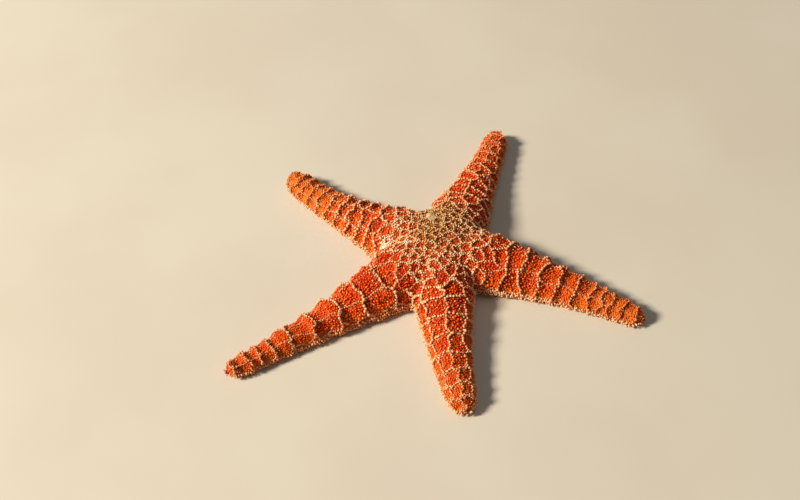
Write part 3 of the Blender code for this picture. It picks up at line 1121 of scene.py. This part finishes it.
# %% Grains between the gills
taken = np.vstack([limy_roots, gill_roots])
tried = np.nonzero(in_cell)[0][GILL_TRIES:]
kept = tried[thin(roots[tried], GRAIN_SPACING, taken, 0.56 * MM)]
size = sizes(kept, 0.62, 0.10, 0.4, 0.9)
tone = np.clip(marks["tone"][kept] * 0.7 + rng.random(len(kept)) * 0.2, 0, 1)
pincer = (rng.random(len(kept)) < 0.05).astype(float)
grain_axes = leaning(axes[kept], 0.2)
plant_kept("grains", GRAIN, gill_finish, grain_axes, size, size * 0.8, tone=tone, pincer=pincer)

# %% [markdown]
# The sole is paved with short spines that end at the floor, since the star rests on them.

# %% Sole spines
SOLE_SPACING = 1.15 * MM
tried = np.nonzero((flank > 1.13) & (furrow < 0.35))[0][:60000]
kept = tried[thin(roots[tried], SOLE_SPACING, fringe_roots, 0.8 * MM)]
sole_axes = leaning(axes[kept], 0.12)
width = sizes(kept, 1, 0.1, 0.7, 1.3)
height = sizes(kept, 1.05, 0.15, 0.6, 1.5)
room = roots[kept][:, 2] / MM / (SPINE_HEIGHT * np.maximum(-sole_axes[:, 2], 0.1))
height = np.minimum(height, room + 0.15)
sole_marks = dict(pale=0.25 + 0.6 * marks["under"][kept], tone=rng.random(len(kept)))
plant_kept("sole_spines", SPINE, spine_finish, sole_axes, width, height, **sole_marks)

# %% [markdown]
# A furrow runs down the middle of each sole. Slim spines along its two edges lean over it like a
# fence, and four staggered rows of tube feet fill it. Each foot is a stalk with a sucker, and is
# just long enough to reach the floor.

# %% Furrow spines
EDGE = 3.9 * MM
MOUTH_RING = 7.7 * MM
side_of = np.abs(where["across"])
edge = np.minimum(EDGE, 0.44 * where["half"])
from_edge = np.abs(side_of - edge)
round_mouth = (np.abs(where["radius"] - MOUTH_RING) < 0.8 * MM) & (side_of > edge * 0.9)
beside = (from_edge < 0.5 * MM) & (where["radius"] > 8 * MM) | round_mouth
tried = np.nonzero(beside & (flank > 1.25) & (roots[:, 2] < 2.2 * MM))[0]
tried = tried[np.argsort(np.where(round_mouth, 0, from_edge)[tried])]
kept = tried[thin(roots[tried], 0.90 * MM)]
under_arm = pick(where, kept)
forward = tangents_at(under_arm)
inward = np.stack([forward[:, 1], -forward[:, 0]], 1) * np.sign(under_arm["across"])[:, None]
to_mouth = unit(np.array(CENTRE[:2]) - roots[kept][:, :2])
inward = np.where(round_mouth[kept][:, None], to_mouth, inward)
inward = np.column_stack([inward, np.full(len(kept), -0.22)])
furrow_axes = leaning(unit(inward), 0.10)
width = sizes(kept, 1, 0.1, 0.7, 1.3)
height = sizes(kept, 0.9, 0.12, 0.5, 1.15) * (1 + 0.25 * round_mouth[kept])
furrow_marks = dict(pale=np.full(len(kept), 0.8), tone=rng.random(len(kept)))
plant_kept("furrow_spines", FURROW_SPINE, spine_finish, furrow_axes, width, height, **furrow_marks)

# %% Tube feet
FOOT_STEP = 2.0 * MM
FOOT_ROWS = (-0.70, -0.26, 0.26, 0.70)
FIRST_FOOT = 9.5 * MM
LAST_FOOT = 4.5 * MM
FLOOR_GAP = 0.15
foot_roots = []
for arm in ARMS:
    for row, across in enumerate(FOOT_ROWS):
        along = FIRST_FOOT + (row % 2) * FOOT_STEP / 2
        while along < arm.length - LAST_FOOT:
            furrow_half = min(3.3 * MM, 0.38 * arm.half_width(along))
            start = arm.at(along + rng.normal(0, 0.2) * MM, across * furrow_half, -1 * MM)
            roof = raised_tree.ray_cast(start, Vector((0, 0, 1)))[0]
            if roof and roof.z > 1.2 * MM:
                foot_roots.append(roof)
            along += FOOT_STEP
foot_roots = np.array(foot_roots)
foot_where = body_map(foot_roots)
foot_axes = leaning(np.tile((0, 0, -1.0), (len(foot_roots), 1)), 0.04)
foot_height = (foot_roots[:, 2] / MM - FLOOR_GAP) / FOOT_HEIGHT
foot_width = np.minimum(1, 0.55 + foot_height * 0.45) * rng.normal(1, 0.08, len(foot_roots))
foot_marks = {"tone": rng.random(len(foot_roots))}

# %% Tube foot finish
look = Finish("tube foot")
stalk = look.mix(look.mask("tone"), (0.80, 0.50, 0.24), (0.88, 0.62, 0.36))
sucker = look.step(look.mask("rise"), 0.80, 0.92)
look.set(
    Base_Color=look.mix(sucker, stalk, (0.90, 0.74, 0.50)),
    Roughness=0.35 + look.noise(900.0) * 0.12,
    Normal=look.bump(look.noise(2600.0), 0.3, 0.1 * MM),
    **living(0.15, (1.0, 0.5, 0.25), 1.0 * MM, 0.3, 0.2),
)
foot_columns = (foot_roots, foot_axes, foot_width, foot_height, foot_marks, foot_where)
plant_all("tube_feet", FOOT, look, *foot_columns)

# %% [markdown]
# The sieve plate lets water into the star's plumbing. It is a small pale dome on the disc, cut by
# fine grooves that wander out from its middle. A disc is drawn up and inset ring by ring, and
# then its rings are moved up and down.

# %% Ringed discs


def ringed_disc(name, sides, radius, thickness, rings):
    """A closed disc at the origin whose upper face has rings of quads."""
    bpy.ops.object.select_all(action="DESELECT")
    bpy.ops.mesh.primitive_circle_add(vertices=sides, radius=radius, fill_type="NGON")
    made = bpy.context.object
    made.name = name
    made.data.name = name
    bpy.ops.object.mode_set(mode="EDIT")
    bpy.ops.mesh.extrude_region_move(TRANSFORM_OT_translate={"value": (0, 0, thickness)})
    for _ in range(rings - 1):
        bpy.ops.mesh.inset(thickness=radius / rings)
    bpy.ops.mesh.merge(type="CENTER")
    bpy.ops.mesh.select_all(action="SELECT")
    bpy.ops.mesh.normals_make_consistent(inside=False)
    bpy.ops.object.mode_set(mode="OBJECT")
    bpy.ops.object.shade_smooth()
    return made


def rings_of(piece, radius):
    """A ringed disc's points, how far out each one lies, and in which direction."""
    points = read(piece.data, "co")
    return points, np.hypot(points[:, 0], points[:, 1]) / radius, np.arctan2(points[:, 1], points[:, 0])


def settle(piece, place, turn):
    """Puts a piece that was made at the origin in its place."""
    piece.location = place
    piece.rotation_euler = turn
    only(piece)
    bpy.ops.object.transform_apply()


def keep(piece, finish, slot, *replaced):
    """Gives a piece its finish, hangs it on the root and hides the solids it replaces."""
    piece.data.materials.append(finish.material)
    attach(piece, "root")
    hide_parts(*replaced)


# %% Dome and grooves
PLATE_RADIUS = 2.35 * MM
PLATE_EDGE = 0.5 * MM
ABOVE = 40 * MM
plate = ringed_disc("sieve_plate", 96, PLATE_RADIUS, PLATE_EDGE, 11)
points, out, compass = rings_of(plate, PLATE_RADIUS)
wander = 0.9 * np.sin(5 * out + 2 * compass) + 0.5 * np.sin(9 * out - 3 * compass)
groove = np.where(out > 0.45, np.cos(20 * compass + 2 * wander), np.cos(10 * compass + 2 * wander))
groove = groove * smooth_step(0.05, 0.25, out) * (1 - smooth_step(0.9, 1.0, out))
upper = points[:, 2] > PLATE_EDGE / 2
points[:, 2] += upper * (0.55 * (1 - out**2) + 0.13 * groove) * MM
write(plate.data, points)
store(plate.data, "groove", np.where(upper, groove, 0) * 0.5 + 0.5)
start = Vector((plate_middle.x, plate_middle.y, ABOVE))
hit, normal, _, _ = raised_tree.ray_cast(start, Vector((0, 0, -1)))
settle(plate, hit - normal * 0.25 * MM, normal.to_track_quat("Z", "Y").to_euler())

# %% Sieve plate finish
look = Finish("sieve plate")
ridge_colour = look.mix(look.noise(900.0), (0.66, 0.50, 0.27), (0.80, 0.66, 0.42))
# Painted shade: the grooves are painted dark brown.
painted_groove_shade = look.step(look.mask("groove"), 0.15, 0.6)
look.set(
    Base_Color=look.mix(painted_groove_shade, (0.24, 0.12, 0.04), ridge_colour),
    Roughness=0.55 + look.noise(1500.0) * 0.15,
    Normal=look.bump(look.noise(5000.0), 0.4, 0.08 * MM),
)
keep(plate, look, "madreporite", "madreporite")
print("sieve plate:", len(plate.data.polygons), "faces")

# %% [markdown]
# Under the disc the five furrows meet at the mouth: a soft membrane, pleated like a drawn purse,
# with a lip round its opening, a shallow dip painted nearly black as painted shade.

# %% Mouth
MOUTH_RADIUS = (mouth_high.x - mouth_low.x) / 2 - 0.15 * MM
MOUTH_THICKNESS = 1.0 * MM
MOUTH_PLEATS = 20
mouth = ringed_disc("mouth_membrane", 120, MOUTH_RADIUS, MOUTH_THICKNESS, 14)
points, out, compass = rings_of(mouth, MOUTH_RADIUS)
lower = points[:, 2] > MOUTH_THICKNESS / 2
lip = bell(out - 0.36, 0.16)
swell = 0.25 * (1 - out**2) + 0.55 * lip - 1.0 * (1 - smooth_step(0.05, 0.26, out))
wander = 0.8 * np.sin(3 * compass + 5 * out) + 0.5 * np.sin(7 * compass - 4 * out)
pleat = np.cos(MOUTH_PLEATS * compass + wander) * smooth_step(0.15, 0.4, out) * (1 - out**4)
wrinkle = 0.07 * np.sin(26 * out + 2 * wander) * smooth_step(0.45, 0.6, out) * (1 - out**6)
points[:, 2] += lower * (swell + 0.17 * pleat + wrinkle) * MM
write(mouth.data, points)
# depth: 0 in the opening, which the finish paints nearly black as painted shade.
store(mouth.data, "depth", np.where(lower, smooth_step(0.08, 0.42, out), 1))
store(mouth.data, "pleat", np.where(lower, pleat, 0) * 0.5 + 0.5)
settle(mouth, (CENTRE.x, CENTRE.y, mouth_high.z - 0.1 * MM), (math.pi, 0, 0))

# %% Mouth finish
look = Finish("mouth membrane")
membrane = look.mix(look.noise(900.0, 3.0), (0.50, 0.17, 0.06), (0.74, 0.36, 0.16))
# Painted shade: the creases between the pleats and the opening in the middle are painted dark.
painted_crease_shade = look.step(look.mask("pleat"), 0.55, 0.1)
membrane = look.mix(painted_crease_shade * 0.6, membrane, (0.30, 0.07, 0.025))
look.set(
    Base_Color=look.mix(look.mask("depth"), (0.10, 0.020, 0.012), membrane),
    Roughness=0.35 + look.noise(900.0) * 0.15,
    Normal=look.bump(look.noise(2400.0, 3.0), 0.4, 0.12 * MM),
    **living(0.1, (1.0, 0.4, 0.2), 1.0 * MM, 0.3, 0.2),
)
keep(mouth, look, "mouth", "mouth")
print("mouth:", len(mouth.data.polygons), "faces")

# %% [markdown]
# A red eyespot sits at the end of every arm, in its socket among the last spines. It is a wet,
# dark red cushion of many tiny eyes, which show as a fine grain.

# %% Eyespots
look = Finish("eyespot")
eye_tone = look.step(look.cells(2600.0), 0.1, 0.6)
look.set(
    Base_Color=look.mix(eye_tone, (0.42, 0.012, 0.008), (0.20, 0.006, 0.006)),
    Roughness=0.28 + look.noise(900.0) * 0.1,
    Normal=look.bump(eye_tone, 0.3, 0.08 * MM),
    Coat_Weight=0.5,
    Coat_Roughness=0.1,
)
for number, node in enumerate(EYESPOT_NODES, 1):
    low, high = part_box(node)
    eyespot = ball_at(node, 24, 14, (high.z - low.z) / 2)
    eyespot.name = f"optic_cushion_{number}"
    eyespot.data.shade_smooth()
    keep(eyespot, look, "eyespot", node)
print("eyespots:", len(EYESPOT_NODES), "with", len(eyespot.data.polygons), "faces each")
